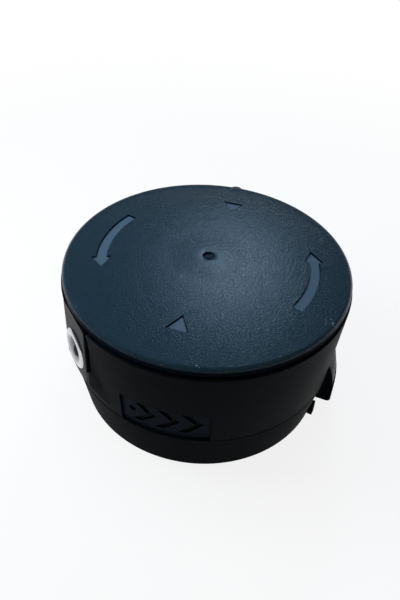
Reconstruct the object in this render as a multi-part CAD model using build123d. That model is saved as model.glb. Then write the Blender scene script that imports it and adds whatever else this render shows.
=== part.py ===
"""Trimmer head with a lift-and-turn winding cap, in millimetres.

The origin is on the turning axis in the base plane, where the head stands machine side down.
+Z runs up to the cap. The two line eyelets lie on -X and +X.
"""
from build123d import *
from math import acos, atan2, cos, degrees, hypot, radians, sin, sqrt
import os

# Clearances
RUN_GAP = 0.3
STOP_GAP = 0.1
CAP_GAP = 0.8
FLANGE_GAP = 2.0
SPIGOT_GAP = 1.1
HOOK_GAP = 0.4

# Drum wall and floor
RIM_R = 55.5
RIM_Z = 55.6
SEAM_INSET = 2.75
SEAM_Z = 19.6
SEAM_W = 0.5
SEAM_PROUD = 0.12
BASE_INSET = 3.45
WALL_T = 2.6
BASE_CHAMFER = 0.9
RIM_CHAMFER = 0.5
FLOOR_Z = 7.0
FLOOR_T = 3.0
BOSS_Z = 0.8
BOSS_WALL = 8.0
RIB_N = 8
RIB_T = 2.0
RIB_Z = 1.5

# Eyelet stations
EYE_Z = 38.3
EYE_BORE_R = 3.25
EYE_SLEEVE_T = 1.35
EYE_FLANGE_R = 7.9
EYE_FLANGE_T = 1.0
EYE_MOUTH = 3.1
EYE_LIP = 0.9
PAD_MARGIN = 1.6
PAD_INSET = 0.8
PAD_DROP = 1.2
PAD_RAMP = 9.0
SLOT_W = 1.9
SLOT_DEEP = 21.6

# Direction panel in the wall
PANEL_AZ = -135.0
PANEL_SPAN = 36.8
PANEL_ABOVE_SEAM = 0.5
PANEL_H = 14.7
PANEL_DEEP = 0.9
MARK_DEEP = 0.6
CHEVRON_AZ = (-3.2, 6.3, 15.8)
CHEVRON_H = 11.4
CHEVRON_REACH = 5.9
CHEVRON_STROKE = 3.3
DOT_AZ = -13.4
DOT_R = 1.35

# Side lugs with a foot beside each, and the lug on the rim
LUG_AZ = -43.0
LUG_SPAN = 16.0
LUG_PROUD = 3.95
LUG_Z0 = 5.0
LUG_H = 8.8
LUG_ROUND = 1.8
LUG_ARCH_H = 12.2
FOOT_SPAN = 3.0
FOOT_AWAY = 7.0
FOOT_H = 7.0
FOOT_PROUD = 2.2
RIM_LUG_AZ = 48.0
RIM_LUG_W = 7.6
RIM_LUG_OUT = 5.6
RIM_LUG_H = 5.0
RIM_LUG_DROP = 0.2

# Ratchet ring and pawl arms
TOOTH_N = 24
TOOTH_CREST_R = 30.6
TOOTH_DEEP = 2.4
TOOTH_RAMP = 0.88
RING_BACK = 3.0
RING_H = 6.0
ARM_N = 3
ARM_T = 2.2
ARM_H = 3.5
ARM_SWEEP = 58.0

# Arbor and its hardware
SPINDLE_R = 4.35
SPINDLE_LEAD = 0.8
SHAFT_WALL = 2.65
INSERT_STEP = 2.0
ARBOR_FLANGE_STEP = 3.0
ARBOR_FLANGE_T = 2.0
ARBOR_WEB = 2.2
SCREW_R = 2.1
SCREW_LEN = 9.0
SCREW_HEAD_R = 4.75
SCREW_HEAD_H = 3.0
SCREW_SLOT = 1.1
SCREW_CLEAR = 0.5
BEARING_T = 0.8
THRUST_T = 1.2
TOP_WASHER_T = 1.5
WASHER_INSET = 0.6
WIRE_R = 0.7
SPRING_ROOM = 1.9
SPRING_H = 13.9
SPRING_TURNS = 3

# Spool
FLANGE_T = 2.5
LOW_FLANGE_Z = 24.0
TOP_FLANGE_DROP = 5.6
HUB_ROOM = 2.7
HUB_WALL = 5.0
LEDGE_T = 5.0
CORE_WALL = 2.4
ANCHOR_R = 1.7
ANCHOR_AZ = 45.0
PARK_W = 2.2
PARK_LEN = 5.5

# Cap
CAP_INSET = 0.5
CAP_SIDE = 1.6
CAP_CROWN = 6.5
DOME_R = 440.0
EDGE_ROUND = 3.0
CAP_CHAMFER = 0.4
SHELL_T = 2.5
SPIGOT_T = 1.6
SPIGOT_DEEP = 3.0
SEAT_R = 30.0
SEAT_T = 2.0
HOOK_N = 4
HOOK_R = 38.5
HOOK_T = 2.2
HOOK_W = 6.0
BARB = 1.2
BARB_H = 1.7
CAP_MARK_DEEP = 0.6
TRIANGLE_R0 = 32.8
TRIANGLE_R1 = 40.0
TRIANGLE_HALF = 4.1
ARROW_R = 40.5
ARROW_W = 4.2
ARROW_HEAD_W = 7.8
ARROW_TAIL = -69.2
ARROW_NECK = -28.4
ARROW_TIP = -19.6
DISH_R = 4.4
DISH_DEEP = 0.3
GATE_R = 2.4
GATE_DEEP = 1.3
GATE_PIN_R = 0.9

# Places that follow from the sizes above
seam_r = RIM_R - SEAM_INSET
base_r = seam_r - BASE_INSET
core_r = base_r - 2 * WALL_T
floor_top = FLOOR_Z + FLOOR_T
shaft_r = SPINDLE_R + SHAFT_WALL
insert_r = shaft_r + INSERT_STEP
boss_r = insert_r + BOSS_WALL
arbor_flange_r = insert_r + ARBOR_FLANGE_STEP
bearing_z = floor_top + ARBOR_FLANGE_T
bearing_r = arbor_flange_r - WASHER_INSET
stop_z = bearing_z + BEARING_T + STOP_GAP
ledge_z = stop_z + LEDGE_T
spring_z0 = ledge_z + THRUST_T
arbor_top = spring_z0 + SPRING_H
spring_r = shaft_r + SPRING_ROOM + WIRE_R
hub_bore_r = spring_r + WIRE_R + HUB_ROOM
hub_r = hub_bore_r + HUB_WALL
washer_r = hub_bore_r - WASHER_INSET
flange_z = RIM_Z - TOP_FLANGE_DROP
flange_top = flange_z + FLANGE_T
cap_r = RIM_R - CAP_INSET
cap_low = RIM_Z + CAP_GAP
cap_apex = cap_low + CAP_CROWN
spigot_r = RIM_R - WALL_T - SPIGOT_GAP
pad_top = RIM_Z - PAD_DROP
pad_half = EYE_FLANGE_R + PAD_MARGIN
pad_low = EYE_Z - pad_half
pad_x = RIM_R - PAD_INSET
slot_low = RIM_Z - SLOT_DEEP
panel_z0 = SEAM_Z + PANEL_ABOVE_SEAM
panel_z1 = panel_z0 + PANEL_H
lug_r = seam_r + LUG_PROUD
sleeve_r = EYE_BORE_R + EYE_SLEEVE_T
far = 2 * RIM_R


def wall_r(z):
    """Outer radius of the drum wall at a height."""
    if z <= SEAM_Z:
        return base_r + (seam_r - base_r) * z / SEAM_Z
    return seam_r + (RIM_R - seam_r) * (z - SEAM_Z) / (RIM_Z - SEAM_Z)


def dome_z(r, drop=0.0):
    """Height of the cap's domed face at a radius, lowered by drop."""
    return cap_apex - drop - (DOME_R - sqrt(DOME_R ** 2 - r ** 2))


def dome_arc(r0, r1, drop=0.0):
    """Dome section between two radii."""
    mid = (r0 + r1) / 2
    return ThreePointArc((r0, dome_z(r0, drop)), (mid, dome_z(mid, drop)), (r1, dome_z(r1, drop)))


def polar(r, az):
    return (r * cos(radians(az)), r * sin(radians(az)))


def spin(outline, arc=360.0):
    """Solid turned about Z from a closed (radius, height) outline or list of points."""
    if isinstance(outline, list):
        outline = Polyline(*outline, close=True)
    return revolve(Plane.XZ * make_face(outline), Axis.Z, revolution_arc=arc)


def ring(r0, r1, z0, z1, span=360.0):
    return spin([(r0, z0), (r1, z0), (r1, z1), (r0, z1)], span)


def around(shape, turns):
    return [Rot(0, 0, turn) * shape for turn in turns]


def panel_shell(depth):
    """Wall layer in the panel's window, from a depth below the face outwards."""
    low, high = wall_r(panel_z0), wall_r(panel_z1)
    pts = [(low - depth, panel_z0), (low + WALL_T, panel_z0),
           (high + WALL_T, panel_z1), (high - depth, panel_z1)]
    return Rot(0, 0, PANEL_AZ - PANEL_SPAN / 2) * spin(pts, PANEL_SPAN)


def panel_marks():
    """Dot and three chevrons, sketched in front of the panel and pushed inwards."""
    half = CHEVRON_H / 2
    mid_z = panel_z1 - half - HOOK_GAP
    floor_r = wall_r(mid_z) - PANEL_DEEP
    plane = Plane(origin=(*polar(RIM_R, PANEL_AZ), mid_z),
                  x_dir=(*polar(1, PANEL_AZ + 90), 0), z_dir=(*polar(1, PANEL_AZ), 0))
    sketch = Pos(floor_r * sin(radians(DOT_AZ)), 0) * Circle(DOT_R)
    for az in CHEVRON_AZ:
        tip = floor_r * sin(radians(az))
        tail = tip - CHEVRON_REACH
        pts = [(tip, 0), (tail, half), (tail - CHEVRON_STROKE, half), (tip - CHEVRON_STROKE, 0),
               (tail - CHEVRON_STROKE, -half), (tail, -half)]
        sketch += make_face(Polyline(*pts, close=True))
    return extrude(plane * sketch, -RIM_R / 3)


def eyelet_pad():
    """Flat-faced boss whose cheeks run into the wall and whose foot runs out above the seam."""
    edge_r = hypot(pad_x, pad_half)
    root_az = degrees(atan2(pad_half, pad_x) + acos(min(1.0, wall_r(pad_low) / edge_r)))
    foot_z = pad_low - PAD_RAMP
    root_r = wall_r(foot_z) - SEAM_W
    plan = Polyline((0, 0), polar(root_r, -root_az), (pad_x, -pad_half), (pad_x, pad_half),
                    polar(root_r, root_az), close=True)
    block = Pos(0, 0, foot_z) * extrude(make_face(plan), pad_top - foot_z)
    return block & spin([(0, foot_z), (root_r, foot_z), (edge_r, pad_low), (edge_r, pad_top), (0, pad_top)])


def eyelet_cuts():
    """Spot face and lowered rim of the pad, the slot on each side of it, and the eyelet's hole."""
    face_h = far - pad_low
    cuts = Pos(pad_x + RIM_R / 2, 0, pad_low + face_h / 2) * Box(RIM_R, 2 * pad_half, face_h)
    cuts += Pos(RIM_R, 0, pad_top + far / 2) * Box(RIM_R / 2, 2 * pad_half, far)
    for side in (-1, 1):
        y0, y1 = side * pad_half, side * (pad_half + SLOT_W)
        slot = Polyline((y0, far), (y1, far), (y1, slot_low + SLOT_W), (y0, slot_low), close=True)
        cuts += Pos(RIM_R * 0.75, 0, 0) * extrude(Plane.YZ * make_face(slot), RIM_R / 2)
    cuts += Pos(RIM_R, 0, EYE_Z) * Rot(0, 90, 0) * Cylinder(sleeve_r, RIM_R / 2)
    return cuts


def side_lug():
    """Press tab with a block below, an arched face set back above it, and a foot beside it."""
    step_z = LUG_Z0 + LUG_H
    face_r = lug_r - SEAM_W
    peak = (wall_r(step_z + LUG_ARCH_H) - SEAM_W, step_z + LUG_ARCH_H)
    lines = Polyline((core_r, LUG_Z0), (lug_r - LUG_ROUND, LUG_Z0))
    lines += RadiusArc((lug_r - LUG_ROUND, LUG_Z0), (lug_r, LUG_Z0 + LUG_ROUND), -LUG_ROUND)
    lines += Polyline((lug_r, LUG_Z0 + LUG_ROUND), (lug_r, step_z), (face_r, step_z))
    lines += TangentArc((face_r, step_z), peak, tangent=(0, 1))
    lines += Polyline(peak, (core_r, step_z + LUG_ARCH_H), (core_r, LUG_Z0))
    foot = ring(core_r, wall_r(FOOT_H / 2) + FOOT_PROUD - SEAM_W, BASE_CHAMFER, FOOT_H, FOOT_SPAN)
    return Rot(0, 0, LUG_AZ - LUG_SPAN / 2) * (spin(lines, LUG_SPAN) + Rot(0, 0, -FOOT_AWAY) * foot)


def rim_lug():
    """Small blunt tab on the far side of the rim."""
    half = RIM_LUG_W / 2
    root = RIM_R - WALL_T
    tip = RIM_R + RIM_LUG_OUT
    outline = Polyline((tip, -half / 2), (RIM_R + RIM_LUG_OUT / 4, -half), (root, -half), (root, half),
                       (RIM_R + RIM_LUG_OUT / 4, half), (tip, half / 2))
    outline += ThreePointArc((tip, half / 2), (tip + RIM_LUG_OUT / 8, 0), (tip, -half / 2))
    tab = extrude(make_face(outline), RIM_LUG_H)
    return Rot(0, 0, RIM_LUG_AZ) * Pos(0, 0, RIM_Z - RIM_LUG_H - RIM_LUG_DROP) * tab


def ratchet_ring():
    """Saw teeth that let pawls pass anticlockwise."""
    root_r = TOOTH_CREST_R + TOOTH_DEEP
    pitch = 360 / TOOTH_N
    teeth = []
    for i in range(TOOTH_N):
        teeth.append(polar(root_r, i * pitch))
        teeth.append(polar(TOOTH_CREST_R, (i + TOOTH_RAMP) * pitch))
    rack = Circle(root_r + RING_BACK) - make_face(Polyline(*teeth, close=True))
    return Pos(0, 0, floor_top - FLOOR_T / 2) * extrude(rack, RING_H + FLOOR_T / 2)


def drum_housing():
    body = spin([(0, 0), (base_r - BASE_CHAMFER, 0), (wall_r(BASE_CHAMFER), BASE_CHAMFER), (seam_r, SEAM_Z),
                 (RIM_R, RIM_Z - RIM_CHAMFER), (RIM_R - RIM_CHAMFER, RIM_Z), (0, RIM_Z)])
    body += ring(core_r, seam_r + SEAM_PROUD, SEAM_Z - SEAM_W / 2, SEAM_Z + SEAM_W / 2)
    body += around(eyelet_pad(), (0, 180))
    body += around(side_lug(), (0, 180))
    body += rim_lug()
    body -= spin([(0, floor_top), (wall_r(floor_top) - WALL_T, floor_top), (seam_r - WALL_T, SEAM_Z),
                  (RIM_R - WALL_T, RIM_Z), (RIM_R - WALL_T, far), (0, far)])
    body -= spin([(boss_r, -BOSS_Z), (base_r - WALL_T, -BOSS_Z), (wall_r(FLOOR_Z) - WALL_T, FLOOR_Z),
                  (boss_r, FLOOR_Z)])
    body -= ring(0, boss_r + BOSS_Z, -BOSS_Z, BOSS_Z)
    rib_len = base_r - WALL_T / 2 - boss_r + RIB_T
    rib_h = FLOOR_Z - RIB_Z + FLOOR_T / 2
    rib = Pos(boss_r - RIB_T + rib_len / 2, 0, RIB_Z + rib_h / 2) * Box(rib_len, RIB_T, rib_h)
    body += around(rib, [(i + 0.5) * 360 / RIB_N for i in range(RIB_N)])
    body += ratchet_ring()
    body -= ring(0, insert_r, -BOSS_Z, floor_top + BOSS_Z)
    body -= around(eyelet_cuts(), (0, 180))
    body -= panel_shell(PANEL_DEEP)
    body -= panel_marks() & panel_shell(PANEL_DEEP + MARK_DEEP)
    return body


def eyelet(turn):
    """Flanged sleeve with a trumpet mouth outside and a rolled lip inside the wall."""
    front = pad_x + EYE_FLANGE_T
    lip_r = sleeve_r + EYE_LIP
    inner_r = min(wall_r(EYE_Z - lip_r), wall_r(EYE_Z + lip_r)) - WALL_T
    back = sqrt(inner_r ** 2 - lip_r ** 2)
    mouth_x = front - EYE_MOUTH
    mouth_r = EYE_BORE_R + EYE_MOUTH
    edge_x = pad_x + EYE_FLANGE_T / 3
    crown = (pad_x + EYE_FLANGE_T * 0.85, (EYE_FLANGE_R * 2 + mouth_r) / 3)
    lines = Polyline((back - EYE_LIP, EYE_BORE_R), (mouth_x, EYE_BORE_R))
    lines += TangentArc((mouth_x, EYE_BORE_R), (front, mouth_r), tangent=(1, 0))
    lines += ThreePointArc((front, mouth_r), crown, (edge_x, EYE_FLANGE_R))
    lines += Polyline((edge_x, EYE_FLANGE_R), (pad_x, EYE_FLANGE_R), (pad_x, sleeve_r), (back, sleeve_r),
                      (back, lip_r), (back - EYE_LIP, sleeve_r), (back - EYE_LIP, EYE_BORE_R))
    return Rot(0, 0, turn) * Pos(0, 0, EYE_Z) * revolve(make_face(lines), Axis.X)


def arbor():
    body = spin([(0, BOSS_Z), (insert_r, BOSS_Z), (insert_r, floor_top), (arbor_flange_r, floor_top),
                 (arbor_flange_r, bearing_z), (shaft_r, bearing_z), (shaft_r, arbor_top - STOP_GAP * 5),
                 (shaft_r - STOP_GAP * 5, arbor_top), (0, arbor_top)])
    screw_end = arbor_top - SCREW_LEN - SCREW_CLEAR
    spindle_end = screw_end - ARBOR_WEB
    body -= spin([(0, BOSS_Z), (SPINDLE_R + SPINDLE_LEAD, BOSS_Z), (SPINDLE_R, BOSS_Z + SPINDLE_LEAD),
                  (SPINDLE_R, spindle_end), (0, spindle_end)])
    return body - ring(0, SCREW_R, screw_end, far)


def bearing_washer():
    return ring(shaft_r + RUN_GAP, bearing_r, bearing_z, bearing_z + BEARING_T)


def thrust_washer():
    return ring(shaft_r + RUN_GAP, washer_r, ledge_z, spring_z0)


def retaining_washer():
    return ring(SCREW_R + SCREW_CLEAR, washer_r, arbor_top, arbor_top + TOP_WASHER_T)


def retaining_screw():
    """Pan-head screw with a cross slot."""
    head_z = arbor_top + TOP_WASHER_T
    head_top = head_z + SCREW_HEAD_H
    end = arbor_top - SCREW_LEN
    lines = Polyline((0, head_top), (0, end), (SCREW_R - SCREW_CLEAR, end), (SCREW_R, end + SCREW_CLEAR),
                     (SCREW_R, head_z), (SCREW_HEAD_R, head_z), (SCREW_HEAD_R, head_z + SCREW_HEAD_H / 3))
    lines += ThreePointArc((SCREW_HEAD_R, head_z + SCREW_HEAD_H / 3),
                           (SCREW_HEAD_R * 0.72, head_z + SCREW_HEAD_H * 0.84), (0, head_top))
    body = spin(lines)
    slot = Pos(0, 0, head_top) * Box(SCREW_HEAD_R * 1.1, SCREW_SLOT, SCREW_HEAD_H)
    return body - slot - Rot(0, 0, 90) * slot


def return_spring():
    height = SPRING_H - 2 * WIRE_R
    path = Helix(height / SPRING_TURNS, height, spring_r)
    wire = Plane(path @ 0, z_dir=path % 0) * Circle(WIRE_R)
    return Pos(0, 0, spring_z0 + WIRE_R) * sweep(wire, path, is_frenet=True)


def pawl_arm():
    """Springy arm that trails clockwise from the barrel to the ratchet crests."""
    tip_r = TOOTH_CREST_R - RUN_GAP
    root_r = hub_r - CORE_WALL / 2
    half = ARM_SWEEP / 2
    mid_r = (root_r + tip_r) / 2
    lines = ThreePointArc(polar(root_r + ARM_T, 0), polar(mid_r + ARM_T / 2, -half), polar(tip_r, -ARM_SWEEP))
    lines += Polyline(polar(tip_r, -ARM_SWEEP), polar(tip_r - ARM_T * 0.7, -ARM_SWEEP))
    lines += ThreePointArc(polar(tip_r - ARM_T * 0.7, -ARM_SWEEP), polar(mid_r - ARM_T / 2, -half),
                           polar(root_r, 0))
    lines += Polyline(polar(root_r, 0), polar(root_r + ARM_T, 0))
    return Pos(0, 0, stop_z) * extrude(make_face(lines), ARM_H)


def spool():
    bore = shaft_r + RUN_GAP
    low_r = wall_r(LOW_FLANGE_Z) - WALL_T - FLANGE_GAP
    top_r = wall_r(flange_z) - WALL_T - FLANGE_GAP
    body = spin([(bore, stop_z), (hub_r, stop_z), (hub_r, LOW_FLANGE_Z), (low_r, LOW_FLANGE_Z),
                 (low_r, LOW_FLANGE_Z + FLANGE_T), (hub_r, LOW_FLANGE_Z + FLANGE_T), (hub_r, flange_z),
                 (top_r, flange_z), (top_r, flange_top), (hub_bore_r, flange_top), (hub_bore_r, ledge_z),
                 (bore, ledge_z)])
    body -= ring(bearing_r, hub_r - CORE_WALL, stop_z - STOP_GAP, ledge_z - CORE_WALL)
    body += around(pawl_arm(), [i * 360 / ARM_N for i in range(ARM_N)])
    hole = Pos(hub_r - HUB_WALL / 2, 0, EYE_Z) * Rot(0, 90, 0) * Cylinder(ANCHOR_R, 2 * HUB_WALL)
    park = Pos(top_r, 0, flange_z) * Box(2 * PARK_LEN, PARK_W, 4 * FLANGE_T)
    body -= around(hole, (ANCHOR_AZ, ANCHOR_AZ + 180))
    body -= around(park, (ANCHOR_AZ + 90, ANCHOR_AZ - 90))
    inner, outer = HOOK_R - HOOK_T / 2 - BARB - HOOK_GAP, HOOK_R + HOOK_T / 2 + HOOK_GAP
    window = Pos((inner + outer) / 2, 0, flange_z) * Box(outer - inner, HOOK_W + 2 * HOOK_GAP, 4 * FLANGE_T)
    body -= around(window, [i * 360 / HOOK_N for i in range(HOOK_N)])
    return body


def cap_marks():
    """Two triangles that point at the centre and two arrows that run anticlockwise."""
    r0, r1 = ARROW_R - ARROW_W / 2, ARROW_R + ARROW_W / 2
    mid = (ARROW_TAIL + ARROW_NECK) / 2
    head = Polyline(polar(r1, ARROW_NECK), polar(ARROW_R + ARROW_HEAD_W / 2, ARROW_NECK),
                    polar(ARROW_R, ARROW_TIP), polar(ARROW_R - ARROW_HEAD_W / 2, ARROW_NECK),
                    polar(r0, ARROW_NECK))
    lines = head + ThreePointArc(polar(r0, ARROW_NECK), polar(r0, mid), polar(r0, ARROW_TAIL))
    lines += Polyline(polar(r0, ARROW_TAIL), polar(r1, ARROW_TAIL))
    lines += ThreePointArc(polar(r1, ARROW_TAIL), polar(r1, mid), polar(r1, ARROW_NECK))
    triangle = Polyline((TRIANGLE_R0, 0), (TRIANGLE_R1, -TRIANGLE_HALF), (TRIANGLE_R1, TRIANGLE_HALF),
                        close=True)
    marks = make_face(lines) + Rot(0, 0, PANEL_AZ) * make_face(triangle)
    marks += Rot(0, 0, 180) * marks
    return Pos(0, 0, cap_low) * extrude(marks, far)


def cap():
    face_r = cap_r - EDGE_ROUND
    low_r = spigot_r - SPIGOT_T
    spigot_z = cap_low - SPIGOT_DEEP
    side_z = cap_low + CAP_SIDE
    lines = Polyline((0, cap_apex - GATE_DEEP / 2), (GATE_PIN_R, cap_apex - GATE_DEEP / 2),
                     (GATE_PIN_R, cap_apex - GATE_DEEP), (GATE_R, cap_apex - GATE_DEEP),
                     (GATE_R, cap_apex - DISH_DEEP), (DISH_R, dome_z(DISH_R)))
    lines += dome_arc(DISH_R, face_r)
    lines += TangentArc((cap_r, side_z), (face_r, dome_z(face_r)), tangent=(0, 1))
    lines += Polyline((cap_r, side_z), (cap_r, cap_low + CAP_CHAMFER), (cap_r - CAP_CHAMFER, cap_low),
                      (spigot_r, cap_low), (spigot_r, spigot_z), (low_r, spigot_z),
                      (low_r, dome_z(low_r, SHELL_T)))
    lines += dome_arc(0, low_r, SHELL_T)
    lines += Polyline((0, dome_z(0, SHELL_T)), (0, cap_apex - GATE_DEEP / 2))
    body = spin(lines)
    body += ring(SEAT_R - SEAT_T / 2, SEAT_R + SEAT_T / 2, flange_top, dome_z(SEAT_R, SHELL_T / 2))
    barb_z = flange_z - STOP_GAP
    inner, outer = HOOK_R - HOOK_T / 2, HOOK_R + HOOK_T / 2
    hook = Polyline((inner, dome_z(HOOK_R, SHELL_T / 2)), (inner, barb_z - BARB_H), (outer, barb_z - BARB_H),
                    (outer + BARB, barb_z), (outer, barb_z), (outer, dome_z(HOOK_R, SHELL_T / 2)), close=True)
    hook = extrude(Plane.XZ * make_face(hook), HOOK_W / 2, both=True)
    body += around(hook, [i * 360 / HOOK_N for i in range(HOOK_N)])
    sky = dome_arc(0, face_r, CAP_MARK_DEEP)
    sky += Polyline((face_r, dome_z(face_r, CAP_MARK_DEEP)), (face_r, far), (0, far),
                    (0, dome_z(0, CAP_MARK_DEEP)))
    return body - (cap_marks() & spin(sky))


nodes = {
    "drum_housing": drum_housing(),
    "eyelet_right": eyelet(0),
    "eyelet_left": eyelet(180),
    "arbor": arbor(),
    "bearing_washer": bearing_washer(),
    "thrust_washer": thrust_washer(),
    "return_spring": return_spring(),
    "retaining_washer": retaining_washer(),
    "retaining_screw": retaining_screw(),
    "spool": spool(),
    "cap": cap(),
}

os.makedirs("parts", exist_ok=True)
for name, shape in nodes.items():
    export_step(shape, f"parts/{name}.step")
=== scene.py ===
# %% [markdown]
# # Trimmer head with a winding cap The head stands machine side down, with its domed cap towards us. Its
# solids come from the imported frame, in metres, so this lesson adds what the solids can't carry: moulded
# plastic, plated metal and studio light.

# %% Load the frame
from math import cos, radians, sin

import bpy
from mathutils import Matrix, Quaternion, Vector


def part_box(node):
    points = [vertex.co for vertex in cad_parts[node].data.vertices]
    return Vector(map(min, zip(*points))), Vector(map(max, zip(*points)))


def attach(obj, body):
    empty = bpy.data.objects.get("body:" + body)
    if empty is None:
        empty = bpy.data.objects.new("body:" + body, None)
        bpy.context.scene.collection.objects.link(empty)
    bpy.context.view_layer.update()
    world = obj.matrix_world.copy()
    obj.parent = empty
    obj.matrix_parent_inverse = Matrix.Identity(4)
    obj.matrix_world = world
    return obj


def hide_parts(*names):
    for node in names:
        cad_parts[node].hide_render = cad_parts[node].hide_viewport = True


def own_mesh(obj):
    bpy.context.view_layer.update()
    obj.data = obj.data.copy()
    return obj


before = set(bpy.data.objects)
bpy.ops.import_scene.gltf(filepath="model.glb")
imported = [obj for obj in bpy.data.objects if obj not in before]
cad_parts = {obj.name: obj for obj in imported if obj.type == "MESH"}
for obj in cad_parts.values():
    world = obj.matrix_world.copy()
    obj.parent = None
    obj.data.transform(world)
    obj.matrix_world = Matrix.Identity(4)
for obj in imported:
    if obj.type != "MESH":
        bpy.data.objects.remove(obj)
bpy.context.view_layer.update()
bpy.context.scene.view_settings.view_transform = "Standard"
print("nodes:", ", ".join(sorted(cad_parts)))

# %% [markdown]
# A turned or moulded wall is one smooth skin, but the frame brings it as loose triangles. Shading could be
# smoothed on a merged copy. Modifiers do it here without touching the solids: Weld joins the triangles, and
# Edge Split keeps every real corner sharp. Weighted Normal lets broad faces stay flat beside their fillets.

# %% Smooth the shading
SHARP_EDGE = radians(32)
WELD_REACH = 1e-6
AREA_FAVOUR = 100

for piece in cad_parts.values():
    piece.data.shade_smooth()
    weld = piece.modifiers.new("join_triangles", "WELD")
    weld.merge_threshold = WELD_REACH
    corners = piece.modifiers.new("keep_corners", "EDGE_SPLIT")
    corners.split_angle = SHARP_EDGE
    favour = piece.modifiers.new("favour_large_faces", "WEIGHTED_NORMAL")
    favour.weight = AREA_FAVOUR
print("smoothed", len(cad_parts), "nodes")

# %% [markdown]
# Every finish below is a small node tree. Four helpers keep the trees short. One turns a hex colour, as a
# paint chart gives it, into the linear values that a shader wants. One adds a node with its settings and
# links, one starts a material, and one puts it on the solids.

# %% Helpers for the finishes
MM = 0.001


def linear(hex_colour):
    """Linear RGBA of an sRGB hex colour."""
    channels = [int(hex_colour[i:i + 2], 16) / 255 for i in (1, 3, 5)]
    return (*[c / 12.92 if c <= 0.04045 else ((c + 0.055) / 1.055) ** 2.4 for c in channels], 1.0)


def add_node(tree, kind, inputs=None, **settings):
    """New node; an input given as a socket is linked, and any other value is set on it."""
    node = tree.nodes.new(kind)
    for name, value in settings.items():
        setattr(node, name, value)
    for name, value in (inputs or {}).items():
        if isinstance(value, bpy.types.NodeSocket):
            tree.links.new(value, node.inputs[name])
        else:
            node.inputs[name].default_value = value
    return node


def new_material(name):
    """Empty material with a Principled shader, its tree and its Object coordinates."""
    material = bpy.data.materials.new(name)
    material.use_nodes = True
    tree = material.node_tree
    place = add_node(tree, "ShaderNodeTexCoord").outputs["Object"]
    return material, tree, tree.nodes["Principled BSDF"], place


def dress(material, *names):
    """Put a material on CAD nodes."""
    for name in names:
        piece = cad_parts[name]
        piece.data.materials.clear()
        piece.data.materials.append(material)
    print(material.name, "on", ", ".join(names))


# %% [markdown]
# The cap is glass-filled nylon with a blue-black tint, moulded in a spark-eroded steel tool. The tool
# leaves an even grain under a millimetre across, which breaks a lamp's mirror image into a haze of
# glints. The sunk arrows and triangles come from smoother inserts, and their floors are painted paler, a
# painted sheen of that smoother face. Their faces could be given a material of their own. A mask is used
# instead, because it leaves the solid's mesh alone: it finds the marks as level floors that lie below the
# dome.

# %% Cap marks
CAP_DOME_R = 440 * MM
MARK_DEPTH = 0.35 * MM
MARK_MIDDLE = 27.5 * MM
MARK_REACH = 21.5 * MM
LEVEL_FROM = 0.7
NO_HEIGHT = (1, 1, 0)

cap_finish, tree, shader, place = new_material("spark_eroded_nylon")
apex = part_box("cap")[1].z
height = add_node(tree, "ShaderNodeSeparateXYZ", {0: place}).outputs["Z"]
flat = add_node(tree, "ShaderNodeVectorMath", {0: place, 1: NO_HEIGHT}, operation="MULTIPLY").outputs[0]
radius = add_node(tree, "ShaderNodeVectorMath", {0: flat}, operation="LENGTH").outputs["Value"]
# So shallow a dome sinks below its apex by the square of the radius over twice its own.
square = add_node(tree, "ShaderNodeMath", {0: radius, 1: 2.0}, operation="POWER").outputs[0]
dome = add_node(tree, "ShaderNodeMath", {0: square, 1: -0.5 / CAP_DOME_R, 2: apex},
                operation="MULTIPLY_ADD").outputs[0]
sunk = add_node(tree, "ShaderNodeMath", {0: dome, 1: height}, operation="SUBTRACT").outputs[0]
deep = add_node(tree, "ShaderNodeMath", {0: sunk, 1: MARK_DEPTH}, operation="GREATER_THAN").outputs[0]
zone = add_node(tree, "ShaderNodeMath", {0: radius, 1: MARK_MIDDLE, 2: MARK_REACH},
                operation="COMPARE").outputs[0]
normal = add_node(tree, "ShaderNodeNewGeometry").outputs["Normal"]
upward = add_node(tree, "ShaderNodeSeparateXYZ", {0: normal}).outputs["Z"]
level = add_node(tree, "ShaderNodeMath", {0: upward, 1: LEVEL_FROM}, operation="GREATER_THAN").outputs[0]
mark = add_node(tree, "ShaderNodeMath", {0: deep, 1: zone}, operation="MULTIPLY").outputs[0]
mark = add_node(tree, "ShaderNodeMath", {0: mark, 1: level}, operation="MULTIPLY").outputs[0]
print("mark floors lie deeper than", MARK_DEPTH / MM, "mm")

# %% [markdown]
# The photographed head has been knocked about a little: two pale nicks near the rim, where the nylon has
# turned white, and a few specks of the same on the rim's edge. Painted textures could show them. Here a
# ball round one place holds the nicks, and a threshold on coarse noise leaves them ragged.

# %% Cap scuffs
NICK_AT = (21.6 * MM, -47.8 * MM, 60.0 * MM)
NICK_R = 2.2 * MM
EDGE_R = 53.2 * MM
RAGGED = 1.1 * MM
NICK_FROM, NICK_FULL = 0.56, 0.64
SPECK_FROM, SPECK_FULL = 0.72, 0.8

away = add_node(tree, "ShaderNodeVectorMath", {0: place, 1: NICK_AT}, operation="DISTANCE").outputs["Value"]
near = add_node(tree, "ShaderNodeMapRange", {"Value": away, "From Min": NICK_R, "From Max": 0.0}).outputs[0]
ragged = add_node(tree, "ShaderNodeTexNoise",
                  {"Vector": place, "Scale": 1 / RAGGED, "Detail": 2.0}).outputs["Fac"]
nick = add_node(tree, "ShaderNodeMapRange",
                {"Value": ragged, "From Min": NICK_FROM, "From Max": NICK_FULL}).outputs[0]
nick = add_node(tree, "ShaderNodeMath", {0: nick, 1: near}, operation="MULTIPLY").outputs[0]
rim = add_node(tree, "ShaderNodeMath", {0: radius, 1: EDGE_R}, operation="GREATER_THAN").outputs[0]
speck = add_node(tree, "ShaderNodeMapRange",
                 {"Value": ragged, "From Min": SPECK_FROM, "From Max": SPECK_FULL}).outputs[0]
speck = add_node(tree, "ShaderNodeMath", {0: speck, 1: rim}, operation="MULTIPLY").outputs[0]
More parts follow.
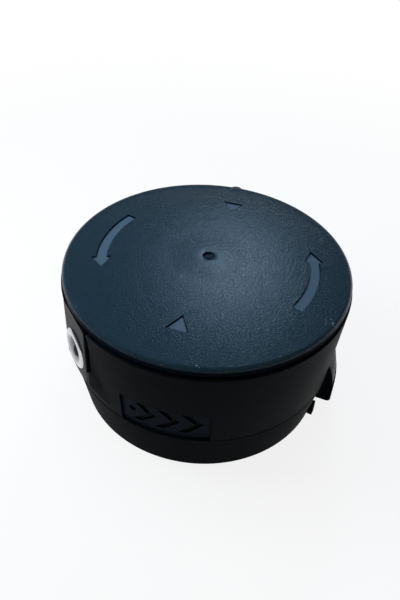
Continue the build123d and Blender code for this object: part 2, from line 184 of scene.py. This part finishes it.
scuff = add_node(tree, "ShaderNodeMath", {0: nick, 1: speck}, operation="MAXIMUM").outputs[0]
print("nicks within", NICK_R / MM, "mm of", [round(v / MM, 1) for v in NICK_AT])

# %% [markdown]
# To the eye the cap is a blue-black skin, painted a little lighter on the grain's crests and darker in
# its hollows, which is painted light and shade on the grain. The mark floors are painted paler, a
# painted sheen, and darker towards the foot of their walls, a painted shade where the walls close them
# in. The scuffs are chalky. The skirt is painted nearly black, a painted shade on faces turned down from
# the lamps. The gate, where the plastic entered the tool, is a plain round spot, painted a little lighter
# as painted light against the shade in its pit. An image could hold all this. Here each is a mask with its
# colour, laid on in turn. The Ambient Occlusion node tells how closed in a place is, so it finds the foot
# for the painted shade.

# %% Cap colour
GRAIN = 0.5 * MM
GATE_R = 2.5 * MM
WALL_SHADE = 0.9 * MM
FOOT_DARK, FOOT_CLEAR = 0.6, 0.9
SKIRT_SHADE_FROM, SKIRT_SHADE_FULL = 0.6, 0.15

grain = add_node(tree, "ShaderNodeTexNoise",
                 {"Vector": place, "Scale": 1 / GRAIN, "Detail": 2.0}).outputs["Fac"]
# Painted light and shade: the grain's crests are painted a little lighter and its hollows darker.
skin = add_node(tree, "ShaderNodeMix", {"Factor": grain, "A": linear("#13252F"), "B": linear("#1A333F")},
                data_type="RGBA").outputs["Result"]
# Painted sheen and shade: mark floors are painted paler, and darker towards the foot of their walls.
foot_shade = add_node(tree, "ShaderNodeAmbientOcclusion", {"Distance": WALL_SHADE}, samples=8).outputs["AO"]
foot_shade = add_node(tree, "ShaderNodeMapRange",
                {"Value": foot_shade, "From Min": FOOT_DARK, "From Max": FOOT_CLEAR}).outputs[0]
floor_sheen_and_shade = add_node(tree, "ShaderNodeMix", {"Factor": foot_shade, "A": linear("#0C161D"), "B": linear("#435868")},
                  data_type="RGBA").outputs["Result"]
# Painted shade: faces turned down from the lamps, the skirt, are painted nearly black.
skirt_shade = add_node(tree, "ShaderNodeMapRange",
                 {"Value": upward, "From Min": SKIRT_SHADE_FROM, "From Max": SKIRT_SHADE_FULL}).outputs[0]
# Painted light: the gate is painted a little lighter against the shade in its pit.
gate_painted_light = add_node(tree, "ShaderNodeMath", {0: radius, 1: GATE_R}, operation="LESS_THAN").outputs[0]
cap_layers = ((mark, floor_sheen_and_shade), (scuff, linear("#8E9BA8")), (skirt_shade, linear("#08101A")),
              (gate_painted_light, linear("#1E2E3A")))
for mask, colour in cap_layers:
    skin = add_node(tree, "ShaderNodeMix", {"Factor": mask, "A": skin, "B": colour},
                    data_type="RGBA").outputs["Result"]
tree.links.new(skin, shader.inputs["Base Color"])
print("cap grain", GRAIN / MM, "mm, with", len(cap_layers), "colours laid over it")

# %% [markdown]
# The grain stands about a tenth of a millimetre high, less on the smoother mark floors, and the middle of
# the dome swells slightly round the gate. Real faces for the grain would run to millions, so both are
# bump. Where the dome meets its rounded edge, the solid has a fine bead that the real cap doesn't have.
# There the shading follows the dome instead, by the direction out from the dome's centre.

# %% Cap relief
GRAIN_H = 0.12 * MM
FLOOR_RELIEF = 0.15
SWELL_R = 16 * MM
SWELL_H = 0.6 * MM
EDGE_MIDDLE = 49.5 * MM
EDGE_REACH = 4.0 * MM

outward = add_node(tree, "ShaderNodeVectorMath", {0: place, 1: (0, 0, apex - CAP_DOME_R)},
                   operation="SUBTRACT").outputs[0]
outward = add_node(tree, "ShaderNodeVectorTransform", {0: outward}, vector_type="NORMAL",
                   convert_from="OBJECT", convert_to="WORLD").outputs[0]
edge = add_node(tree, "ShaderNodeMath", {0: radius, 1: EDGE_MIDDLE, 2: EDGE_REACH},
                operation="COMPARE").outputs[0]
edge = add_node(tree, "ShaderNodeMath", {0: edge, 1: level}, operation="MULTIPLY").outputs[0]
calm = add_node(tree, "ShaderNodeMix", {"Factor": edge, "A": normal, "B": outward},
                data_type="VECTOR").outputs["Result"]
swell = add_node(tree, "ShaderNodeMapRange", {"Value": radius, "From Min": SWELL_R, "From Max": 0.0},
                 interpolation_type="SMOOTHSTEP").outputs[0]
swell = add_node(tree, "ShaderNodeBump", {"Strength": 1.0, "Distance": SWELL_H, "Height": swell,
                                          "Normal": calm}).outputs["Normal"]
relief = add_node(tree, "ShaderNodeMapRange",
                  {"Value": mark, "To Min": 1.0, "To Max": FLOOR_RELIEF}).outputs[0]
bump = add_node(tree, "ShaderNodeBump", {"Strength": relief, "Distance": GRAIN_H, "Height": grain,
                                         "Normal": swell})
tree.links.new(bump.outputs["Normal"], shader.inputs["Normal"])
print("cap grain", GRAIN_H / MM, "mm high, swell", SWELL_H / MM, "mm high")

# %% [markdown]
# Under a lamp the crests of the grain shine and its hollows don't, which gives the eye a field of glints in
# place of a plain highlight. One gloss for the whole cap would look like paint, so the grain drives it too.
# The skirt and the gate stay dull.

# %% Cap gloss
HOLLOW, CREST = 0.3, 0.7
HOLLOW_GLOSS, CREST_GLOSS = 0.03, 0.46
DULL_GLOSS = 0.002

rough = add_node(tree, "ShaderNodeMapRange", {"Value": grain, "To Min": 0.16, "To Max": 0.27}).outputs[0]
tree.links.new(rough, shader.inputs["Roughness"])
glint = add_node(tree, "ShaderNodeMapRange", {"Value": grain, "From Min": HOLLOW, "From Max": CREST,
                                             "To Min": HOLLOW_GLOSS, "To Max": CREST_GLOSS}).outputs[0]
dull = add_node(tree, "ShaderNodeMath", {0: gate_painted_light, 1: skirt_shade}, operation="MAXIMUM").outputs[0]
glint = add_node(tree, "ShaderNodeMix", {"Factor": dull, "A": glint, "B": DULL_GLOSS}).outputs["Result"]
tree.links.new(glint, shader.inputs["Specular IOR Level"])
dress(cap_finish, "cap")

# %% [markdown]
# The drum is the same nylon from a duller tool, so it is nearly black and swallows light; a slow drift in
# its gloss is all that shows on the wall. In the direction panel the chevrons are cut deeper, and are
# painted black, a painted shade in their deeper cut, on slightly bluer ground. As on the cap, masks find
# both by their depth, here measured from the tapered wall.

# %% Drum marks
PANEL_FLOOR = 0.75 * MM
CHEVRON_FLOOR = 1.2 * MM
WALL_FOOT_R = 52.75 * MM
WALL_FOOT_Z = 19.6 * MM
WALL_SLOPE = 2.75 / 36.0
PANEL_MIDDLE = 27.45 * MM
PANEL_REACH = 7.3 * MM

drum_finish, tree, shader, place = new_material("moulded_black_nylon")
height = add_node(tree, "ShaderNodeSeparateXYZ", {0: place}).outputs["Z"]
flat = add_node(tree, "ShaderNodeVectorMath", {0: place, 1: NO_HEIGHT}, operation="MULTIPLY").outputs[0]
radius = add_node(tree, "ShaderNodeVectorMath", {0: flat}, operation="LENGTH").outputs["Value"]
wall = add_node(tree, "ShaderNodeMath",
                {0: height, 1: WALL_SLOPE, 2: WALL_FOOT_R - WALL_SLOPE * WALL_FOOT_Z},
                operation="MULTIPLY_ADD").outputs[0]
sunk = add_node(tree, "ShaderNodeMath", {0: wall, 1: radius}, operation="SUBTRACT").outputs[0]
window = add_node(tree, "ShaderNodeMath", {0: height, 1: PANEL_MIDDLE, 2: PANEL_REACH},
                  operation="COMPARE").outputs[0]
panel = add_node(tree, "ShaderNodeMath", {0: sunk, 1: PANEL_FLOOR}, operation="GREATER_THAN").outputs[0]
panel = add_node(tree, "ShaderNodeMath", {0: panel, 1: window}, operation="MULTIPLY").outputs[0]
# Painted shade: the deeper chevron cut is painted black.
chevron_shade = add_node(tree, "ShaderNodeMath", {0: sunk, 1: CHEVRON_FLOOR}, operation="GREATER_THAN").outputs[0]
chevron_shade = add_node(tree, "ShaderNodeMath", {0: chevron_shade, 1: window}, operation="MULTIPLY").outputs[0]
print("panel floor below", PANEL_FLOOR / MM, "mm, chevrons below", CHEVRON_FLOOR / MM, "mm")

# %% [markdown]
# The arched faces of the two press tabs are worn smooth by use. They are painted a little paler than the
# wall, a painted sheen of that smooth face. A wedge of directions from the axis holds a tab. Its slant
# comes out the same half a turn away, so one mask is enough for both.

# %% Drum press tabs
TAB_AZ = radians(-43)
TAB_SPREAD = 0.138
TAB_OUT = 50 * MM
TAB_MIDDLE = 20 * MM
TAB_REACH = 6.1 * MM

along = add_node(tree, "ShaderNodeVectorMath", {0: flat, 1: (cos(TAB_AZ), sin(TAB_AZ), 0)},
                 operation="DOT_PRODUCT").outputs["Value"]
across = add_node(tree, "ShaderNodeVectorMath", {0: flat, 1: (-sin(TAB_AZ), cos(TAB_AZ), 0)},
                  operation="DOT_PRODUCT").outputs["Value"]
slant = add_node(tree, "ShaderNodeMath", {0: across, 1: along}, operation="DIVIDE").outputs[0]
tab_sheen = add_node(tree, "ShaderNodeMath", {0: slant, 1: 0.0, 2: TAB_SPREAD}, operation="COMPARE").outputs[0]
outside = add_node(tree, "ShaderNodeMath", {0: radius, 1: TAB_OUT}, operation="GREATER_THAN").outputs[0]
arched = add_node(tree, "ShaderNodeMath", {0: height, 1: TAB_MIDDLE, 2: TAB_REACH},
                  operation="COMPARE").outputs[0]
tab_sheen = add_node(tree, "ShaderNodeMath", {0: tab_sheen, 1: outside}, operation="MULTIPLY").outputs[0]
tab_sheen = add_node(tree, "ShaderNodeMath", {0: tab_sheen, 1: arched}, operation="MULTIPLY").outputs[0]
print("press tabs between", round((TAB_MIDDLE - TAB_REACH) / MM, 1), "and",
      round((TAB_MIDDLE + TAB_REACH) / MM, 1), "mm up")

# %% [markdown]
# The two pads that carry the eyelets are spot-faced after moulding, and the cut leaves them smoother than
# the wall. With the bit of rim above them they lie furthest out along X, so a plain limit on that
# distance finds them.

# %% Drum pads
PAD_OUT = 54.2 * MM

side = add_node(tree, "ShaderNodeSeparateXYZ", {0: place}).outputs["X"]
side = add_node(tree, "ShaderNodeMath", {0: side}, operation="ABSOLUTE").outputs[0]
pad = add_node(tree, "ShaderNodeMath", {0: side, 1: PAD_OUT}, operation="GREATER_THAN").outputs[0]
print("pads lie beyond", PAD_OUT / MM, "mm")

# %% [markdown]
# To the eye the drum is a near-black wall with a slow drift in its gloss, a bluer panel floor with
# chevrons painted black as shade, tabs painted paler as sheen, and smoother pads. The foot below the wall
# is duller still. Separate materials would need separate faces, so the masks above mix one material's
# values.

# %% Drum finish
DRIFT = 14 * MM
FINE_GRAIN = 0.6 * MM
FINE_GRAIN_H = 0.03 * MM
FINE_RELIEF = 0.25
TAB_ROUGH = 0.3
FOOT_GLOSS, WALL_GLOSS = 0.004, 0.012
PAD_GLOSS = 0.1
TAB_GLOSS = 0.02

drift = add_node(tree, "ShaderNodeTexNoise",
                 {"Vector": place, "Scale": 1 / DRIFT, "Detail": 2.0}).outputs["Fac"]
fine = add_node(tree, "ShaderNodeTexNoise",
                {"Vector": place, "Scale": 1 / FINE_GRAIN, "Detail": 2.0}).outputs["Fac"]
skin = add_node(tree, "ShaderNodeMix", {"Factor": drift, "A": linear("#080C0F"), "B": linear("#0C1114")},
                data_type="RGBA").outputs["Result"]
# Chevrons are painted black as shade in their cut, and tabs are painted paler as sheen.
for mask, colour in ((panel, "#10171E"), (chevron_shade, "#030406"), (tab_sheen, "#161F2B")):
    skin = add_node(tree, "ShaderNodeMix", {"Factor": mask, "A": skin, "B": linear(colour)},
                    data_type="RGBA").outputs["Result"]
tree.links.new(skin, shader.inputs["Base Color"])
rough = add_node(tree, "ShaderNodeMapRange", {"Value": drift, "To Min": 0.4, "To Max": 0.52}).outputs[0]
rough = add_node(tree, "ShaderNodeMix", {"Factor": tab_sheen, "A": rough, "B": TAB_ROUGH}).outputs["Result"]
tree.links.new(rough, shader.inputs["Roughness"])
gloss = add_node(tree, "ShaderNodeMapRange",
                 {"Value": height, "From Min": WALL_FOOT_Z - MM, "From Max": WALL_FOOT_Z,
                  "To Min": FOOT_GLOSS, "To Max": WALL_GLOSS}).outputs[0]
gloss = add_node(tree, "ShaderNodeMix", {"Factor": pad, "A": gloss, "B": PAD_GLOSS}).outputs["Result"]
gloss = add_node(tree, "ShaderNodeMix", {"Factor": tab_sheen, "A": gloss, "B": TAB_GLOSS}).outputs["Result"]
tree.links.new(gloss, shader.inputs["Specular IOR Level"])
bump = add_node(tree, "ShaderNodeBump",
                {"Strength": FINE_RELIEF, "Distance": FINE_GRAIN_H, "Height": fine})
tree.links.new(bump.outputs["Normal"], shader.inputs["Normal"])
dress(drum_finish, "drum_housing")

# %% [markdown]
# The spool turns inside the drum and is hidden but for the gap under the cap and the eyelets' bores. It is
# plain moulded nylon with no tint, so a flat colour would nearly do; a soft mottle keeps it from looking
# like a hole.

# %% Spool finish
MOTTLE = 6 * MM

# Satin nylon gives the eye an even dark grey without a clear reflection.
spool_finish, tree, shader, place = new_material("satin_nylon")
mottle = add_node(tree, "ShaderNodeTexNoise",
                  {"Vector": place, "Scale": 1 / MOTTLE, "Detail": 3.0}).outputs["Fac"]
colour = add_node(tree, "ShaderNodeMix", {"Factor": mottle, "A": linear("#141414"), "B": linear("#1E1E1F")},
                  data_type="RGBA").outputs["Result"]
tree.links.new(colour, shader.inputs["Base Color"])
rough = add_node(tree, "ShaderNodeMapRange", {"Value": mottle, "To Min": 0.45, "To Max": 0.6}).outputs[0]
tree.links.new(rough, shader.inputs["Roughness"])
dress(spool_finish, "spool")

# %% [markdown]
# The line eyelets are turned from bar and plated. The running line keeps the rim of each trumpet mouth
# bright, and the throat is painted dull grey, a painted shade inside the bore. A second material could
# hold the throat, but there is no edge between the two, so the tone follows the distance from the
# eyelet's own axis.

# %% Eyelet finish
EYE_Z = 38.3 * MM
THROAT_R = 3.2 * MM
MOUTH_R = 6.6 * MM
TURNING = 0.8 * MM
NO_SIDE = (0, 1, 1)

# Nickel plate gives the eye a mirror-bright rim and faint turning marks; the dull grey throat is painted
# shade.
eyelet_finish, tree, shader, place = new_material("polished_nickel_plate")
spoke = add_node(tree, "ShaderNodeVectorMath", {0: place, 1: (0, 0, EYE_Z)}, operation="SUBTRACT").outputs[0]
spoke = add_node(tree, "ShaderNodeVectorMath", {0: spoke, 1: NO_SIDE}, operation="MULTIPLY").outputs[0]
away = add_node(tree, "ShaderNodeVectorMath", {0: spoke}, operation="LENGTH").outputs["Value"]
bright = add_node(tree, "ShaderNodeMapRange",
                  {"Value": away, "From Min": THROAT_R, "From Max": MOUTH_R}).outputs[0]
turned = add_node(tree, "ShaderNodeTexNoise",
                  {"Vector": place, "Scale": 1 / TURNING, "Detail": 4.0}).outputs["Fac"]
plate = add_node(tree, "ShaderNodeMix", {"Factor": turned, "A": linear("#B9BCC0"), "B": linear("#DCDDDF")},
                 data_type="RGBA").outputs["Result"]
# Painted shade: the throat is painted dull grey inside the bore.
plate = add_node(tree, "ShaderNodeMix", {"Factor": bright, "A": linear("#3C3E40"), "B": plate},
                 data_type="RGBA").outputs["Result"]
tree.links.new(plate, shader.inputs["Base Color"])
rough = add_node(tree, "ShaderNodeMapRange", {"Value": turned, "To Min": 0.1, "To Max": 0.24}).outputs[0]
tree.links.new(rough, shader.inputs["Roughness"])
shader.inputs["Metallic"].default_value = 1.0
dress(eyelet_finish, "eyelet_right", "eyelet_left")
print("eyelet mouths bright beyond", MOUTH_R / MM, "mm")

# %% [markdown]
# Arbor, washers and screw are steel, plated with zinc against rust. They sit inside or underneath, so one
# finish serves them all: noise at the size of the plating's bloom moves its colour and its polish together.

# %% Plated steel finish
BLOOM = 2.5 * MM

# Zinc plate gives the eye a soft grey metal with a faint cloudy bloom.
zinc_finish, tree, shader, place = new_material("zinc_plated_steel")
bloom = add_node(tree, "ShaderNodeTexNoise",
                 {"Vector": place, "Scale": 1 / BLOOM, "Detail": 5.0}).outputs["Fac"]
colour = add_node(tree, "ShaderNodeMix", {"Factor": bloom, "A": linear("#9A9C98"), "B": linear("#BDBEB8")},
                  data_type="RGBA").outputs["Result"]
tree.links.new(colour, shader.inputs["Base Color"])
rough = add_node(tree, "ShaderNodeMapRange", {"Value": bloom, "To Min": 0.28, "To Max": 0.46}).outputs[0]
tree.links.new(rough, shader.inputs["Roughness"])
shader.inputs["Metallic"].default_value = 1.0
dress(zinc_finish, "arbor", "bearing_washer", "thrust_washer", "retaining_washer", "retaining_screw")

# %% [markdown]
# The return spring is drawn wire wound on a mandrel. A bevelled curve could make it. Here a round section
# of wire is wound up by a Screw modifier, as a coiling machine does it, and the ends are closed as the
# wire is cut.

# %% Wind the spring
WIRE_R = 0.7 * MM
SPRING_TURNS = 3
WIRE_SIDES = 16
STEPS_PER_TURN = 48

spring_low, spring_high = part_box("return_spring")
spring_long = spring_high.z - spring_low.z
coil_r = spring_high.x - WIRE_R
bpy.ops.object.select_all(action="DESELECT")
bpy.ops.mesh.primitive_circle_add(vertices=WIRE_SIDES, radius=WIRE_R, location=(0, 0, 0))
coil = bpy.context.object
coil.name = "return_spring_coil"
bpy.ops.object.mode_set(mode="EDIT")
bpy.ops.transform.rotate(value=radians(90), orient_axis="X")
bpy.ops.transform.translate(value=(coil_r, 0, spring_low.z + WIRE_R))
bpy.ops.object.mode_set(mode="OBJECT")
wind = coil.modifiers.new("wind_wire", "SCREW")
wind.iterations = SPRING_TURNS
wind.screw_offset = (spring_long - 2 * WIRE_R) / SPRING_TURNS
wind.steps = STEPS_PER_TURN
wind.render_steps = STEPS_PER_TURN
bpy.ops.object.modifier_apply(modifier="wind_wire")
bpy.ops.object.mode_set(mode="EDIT")
bpy.ops.mesh.select_all(action="SELECT")
bpy.ops.mesh.fill_holes(sides=0)
bpy.ops.mesh.normals_make_consistent(inside=False)
bpy.ops.object.mode_set(mode="OBJECT")
coil.data.shade_smooth()
print("spring wound in", len(coil.data.vertices), "points,", round(spring_long / MM, 1), "mm long")

# %% [markdown]
# Spring wire is pulled through a die, which leaves it darker than plate and streaky at about half a
# millimetre. The streaks would follow the wire, but it is sealed inside the head, so plain noise is enough.

# %% Spring finish
STREAK = 0.5 * MM

# Drawn wire gives the eye a dark metal with a faint uneven grain.
wire_finish, tree, shader, place = new_material("drawn_spring_wire")
drawn = add_node(tree, "ShaderNodeTexNoise",
                 {"Vector": place, "Scale": 1 / STREAK, "Detail": 3.0}).outputs["Fac"]
colour = add_node(tree, "ShaderNodeMix", {"Factor": drawn, "A": linear("#66686A"), "B": linear("#8A8C8E")},
                  data_type="RGBA").outputs["Result"]
tree.links.new(colour, shader.inputs["Base Color"])
rough = add_node(tree, "ShaderNodeMapRange", {"Value": drawn, "To Min": 0.3, "To Max": 0.42}).outputs[0]
tree.links.new(rough, shader.inputs["Roughness"])
shader.inputs["Metallic"].default_value = 1.0
coil.data.materials.append(wire_finish)
dress(wire_finish, "return_spring")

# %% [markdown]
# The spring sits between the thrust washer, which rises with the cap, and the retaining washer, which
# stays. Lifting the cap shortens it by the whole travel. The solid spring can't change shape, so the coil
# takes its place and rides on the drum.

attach(coil, "drum")
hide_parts("return_spring")
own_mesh(coil)

# %% [markdown]
# A sheet of white paper carries the head and its shadow. Stronger lamps could bleach it, but they would
# light the head too. Here the camera, and anything polished, sees the paper mostly as a plain white glow,
# and wholly so further out, where the edge of the sheet melts into the white behind.

# %% Floor
FLOOR_HALF = 1.6
FLOOR_DROP = 0.02 * MM
PAPER_MOTTLE = 30 * MM
PAPER_GLOW = 0.85
FADE_FROM = 0.1
FADE_TO = 0.4

bpy.ops.object.select_all(action="DESELECT")
bpy.ops.mesh.primitive_plane_add(size=2 * FLOOR_HALF, location=(0, 0, -FLOOR_DROP))
floor = bpy.context.object
floor.name = "studio_floor"
# Paper gives the eye a dull white with no highlight.
floor_paint, tree, shader, place = new_material("pale_studio_paper")
paper = add_node(tree, "ShaderNodeTexNoise",
                 {"Vector": place, "Scale": 1 / PAPER_MOTTLE, "Detail": 2.0}).outputs["Fac"]
colour = add_node(tree, "ShaderNodeMix", {"Factor": paper, "A": linear("#F6F6F6"), "B": linear("#FAFAFA")},
                  data_type="RGBA").outputs["Result"]
tree.links.new(colour, shader.inputs["Base Color"])
shader.inputs["Roughness"].default_value = 0.9
shader.inputs["Specular IOR Level"].default_value = 0.0
ray = add_node(tree, "ShaderNodeLightPath").outputs
glow = add_node(tree, "ShaderNodeMath", {0: ray["Is Camera Ray"], 1: ray["Is Glossy Ray"]},
                operation="MAXIMUM").outputs[0]
glow = add_node(tree, "ShaderNodeMath", {0: glow, 1: ray["Is Transmission Ray"]},
                operation="MAXIMUM").outputs[0]
away = add_node(tree, "ShaderNodeVectorMath", {0: place}, operation="LENGTH").outputs["Value"]
fade = add_node(tree, "ShaderNodeMapRange",
                {"Value": away, "From Min": FADE_FROM, "From Max": FADE_TO, "To Min": PAPER_GLOW},
                interpolation_type="SMOOTHSTEP").outputs[0]
glow = add_node(tree, "ShaderNodeMath", {0: glow, 1: fade}, operation="MULTIPLY").outputs[0]
white = add_node(tree, "ShaderNodeEmission", {"Color": (1, 1, 1, 1), "Strength": 1.0}).outputs["Emission"]
surface = add_node(tree, "ShaderNodeMixShader",
                   {"Fac": glow, 1: shader.outputs["BSDF"], 2: white}).outputs["Shader"]
tree.links.new(surface, tree.nodes["Material Output"].inputs["Surface"])
floor.data.materials.append(floor_paint)
print("floor", 2 * FLOOR_HALF, "m square, white beyond", FADE_TO, "m")

# %% [markdown]
# Black plastic shows its form by gloss more than by light. So a small cool lamp stands behind the head,
# where the dome mirrors it towards us as a haze. One wide lamp would do for the rest, but it would show
# in the dome too. Two soft ones, overhead and at the left, light the walls and are kept out of every
# reflection.

# %% Lamps
LAMP_AIM = Vector((0, 0, 0.05))


def soft_lamp(name, azimuth, elevation, distance, size, watts, colour):
    """Square lamp on a sphere about the head, aimed at it."""
    level_out = cos(radians(elevation))
    out = Vector((cos(radians(azimuth)) * level_out, sin(radians(azimuth)) * level_out,
                  sin(radians(elevation))))
    data = bpy.data.lights.new(name, "AREA")
    data.shape = "SQUARE"
    data.size = size
    data.energy = watts
    data.color = linear(colour)[:3]
    lamp = bpy.data.objects.new(name, data)
    lamp.location = out * distance + LAMP_AIM
    lamp.rotation_euler = out.to_track_quat("Z", "Y").to_euler()
    bpy.context.scene.collection.objects.link(lamp)
    return lamp


soft_lamp("back_window", 52, 42.5, 0.75, 0.15, 1.3, "#BEDFFF")
soft_lamp("overhead_box", 58, 76, 0.9, 0.5, 2.4, "#F2F7FF").visible_glossy = False
soft_lamp("left_fill", 145, 42, 0.3, 0.2, 0.75, "#EAF3FF").visible_glossy = False

# %% [markdown]
# The room is dim, so the black drum stays black. White shows only where the camera looks past the floor,
# and in a low band round the horizon that polished metal mirrors, as a white cyclorama would.

# %% World
ROOM = 0.15
BAND_TOP = 0.12

world = bpy.data.worlds.new("studio_air")
bpy.context.scene.world = world
world.use_nodes = True
tree = world.node_tree
tree.nodes.clear()
ray = add_node(tree, "ShaderNodeLightPath").outputs
sky = add_node(tree, "ShaderNodeTexCoord").outputs["Generated"]
rise = add_node(tree, "ShaderNodeSeparateXYZ", {0: sky}).outputs["Z"]
band = add_node(tree, "ShaderNodeMath", {0: rise, 1: BAND_TOP}, operation="LESS_THAN").outputs[0]
seen = add_node(tree, "ShaderNodeMath", {0: band, 1: ray["Is Glossy Ray"]}, operation="MULTIPLY").outputs[0]
seen = add_node(tree, "ShaderNodeMath", {0: seen, 1: ray["Is Camera Ray"]}, operation="MAXIMUM").outputs[0]
seen = add_node(tree, "ShaderNodeMath", {0: seen, 1: ray["Is Transmission Ray"]},
                operation="MAXIMUM").outputs[0]
glow = add_node(tree, "ShaderNodeMapRange", {"Value": seen, "To Min": ROOM, "To Max": 1.0}).outputs[0]
air = add_node(tree, "ShaderNodeBackground", {"Color": (1, 1, 1, 1), "Strength": glow}).outputs["Background"]
add_node(tree, "ShaderNodeOutputWorld", {"Surface": air})
print("room level", ROOM)

# %% [markdown]
# The camera stands where the photograph was taken from: a quarter of a metre away, looking down at about
# forty degrees, with the picture turned a little clockwise. Its numbers come from a fit to the
# photograph's outlines, so the focal length and the middle of the picture are in pixels.

# %% Camera
IMAGE_PX = (400, 600)
FOCAL_PX = 663.0
AXIS_PX = (208.2, 264.5)
CAMERA_AZ = radians(-32.0)
CAMERA_EL = radians(39.324)
CAMERA_AWAY = 0.25359
CAMERA_ROLL = radians(3.915)
AIM = Vector((0, 0, 0.0583))

back = Vector((sin(CAMERA_AZ) * cos(CAMERA_EL), -cos(CAMERA_AZ) * cos(CAMERA_EL), sin(CAMERA_EL)))
lens = bpy.data.cameras.new("studio_camera")
lens.sensor_width = 36.0
lens.lens = FOCAL_PX * lens.sensor_width / IMAGE_PX[1]
lens.shift_x = (IMAGE_PX[0] / 2 - AXIS_PX[0]) / IMAGE_PX[1]
lens.shift_y = (AXIS_PX[1] - IMAGE_PX[1] / 2) / IMAGE_PX[1]
lens.clip_start = 0.01
camera = bpy.data.objects.new("studio_camera", lens)
camera.location = AIM + back * CAMERA_AWAY
camera.rotation_mode = "QUATERNION"
camera.rotation_quaternion = (-back).to_track_quat("-Z", "Y") @ Quaternion((0, 0, 1), CAMERA_ROLL)
bpy.context.scene.collection.objects.link(camera)
bpy.context.scene.camera = camera
print("camera at", [round(v, 4) for v in camera.location])
